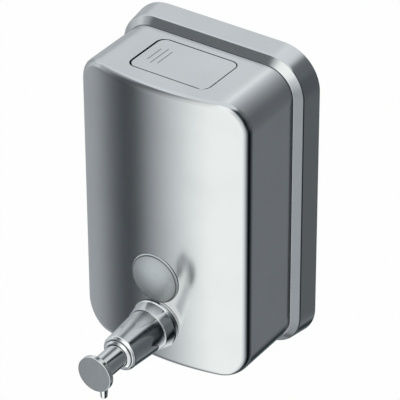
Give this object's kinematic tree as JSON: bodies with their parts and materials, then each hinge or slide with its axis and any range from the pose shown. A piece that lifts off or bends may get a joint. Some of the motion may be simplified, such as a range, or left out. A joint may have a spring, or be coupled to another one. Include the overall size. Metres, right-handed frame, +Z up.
{
  "type": "wall-mounted soap dispenser",
  "caption": "Wall-hung steel liquid soap dispenser: upright tank with a bowed face, rocking filler lid, round sight window and a horizontal push valve with a drop spout.",
  "frame": {"origin": "centre of the wall bracket's back face, on the wall's surface", "axes": "+Z up; +Y into the wall, so the front with the push button faces -Y; +X to the right of a person who faces the wall"},
  "size_m": [0.1114, 0.1174, 0.1736],
  "materials": {
    "satin_stainless": "drawn and satin polished stainless steel",
    "polished_chrome": "bright chromium plate on turned brass",
    "zinc_plated_steel": "zinc-plated pressed sheet",
    "turned_brass": "turned",
    "clear_polycarbonate": "clear moulded polycarbonate",
    "grey_abs": "moulded ABS",
    "white_acetal": "moulded acetal",
    "nitrile_rubber": "moulded nitrile rubber",
    "bright_steel": "bright stainless steel"
  },
  "bodies": {
    "wall_bracket": {"wall_bracket": "zinc_plated_steel"},
    "tank": {"body_shell": "satin_stainless", "rear_pan": "satin_stainless", "hanger_plate": "zinc_plated_steel", "filler_neck": "grey_abs", "lid_hinge_pin": "bright_steel", "lid_gasket": "nitrile_rubber", "window_lens": "clear_polycarbonate", "window_gasket": "nitrile_rubber", "window_nut": "white_acetal", "valve_base_ring": "polished_chrome", "valve_collar": "polished_chrome", "valve_nose": "polished_chrome", "stem_bush": "polished_chrome", "pump_barrel": "turned_brass", "inner_washer": "nitrile_rubber", "lock_nut": "turned_brass", "inlet_cage": "white_acetal", "suction_tube": "bright_steel"},
    "lid": {"lid_plate": "satin_stainless", "lid_carrier": "grey_abs"},
    "button": {"push_button": "polished_chrome", "spout": "polished_chrome", "piston": "white_acetal", "piston_seal": "nitrile_rubber", "return_spring": "bright_steel"},
    "inlet_ball": {"inlet_ball": "bright_steel"},
    "outlet_ball": {"outlet_ball": "bright_steel"}
  },
  "joints": [
    {"name": "tank_lift_off", "type": "slide", "parent": "wall_bracket", "child": "tank", "axis": [0, 0, 1], "range_m": [0, 0.008]},
    {"name": "lid_hinge", "type": "hinge", "parent": "tank", "child": "lid", "pos_m": [-0.012, -0.0371, 0.0776], "axis": [0, -1, 0], "range_deg": [0, 65]},
    {"name": "button_push", "type": "slide", "parent": "tank", "child": "button", "axis": [0, 1, 0], "range_m": [0, 0.008], "stiffness_N_per_m": 350, "springref_m": -0.01, "deforming": ["return_spring"]},
    {"name": "inlet_ball_lift", "type": "slide", "parent": "tank", "child": "inlet_ball", "axis": [0, -1, 0], "range_m": [0, 0.0012]},
    {"name": "outlet_ball_lift", "type": "slide", "parent": "button", "child": "outlet_ball", "axis": [0, -1, 0], "range_m": [0, 0.0012]}
  ]
}
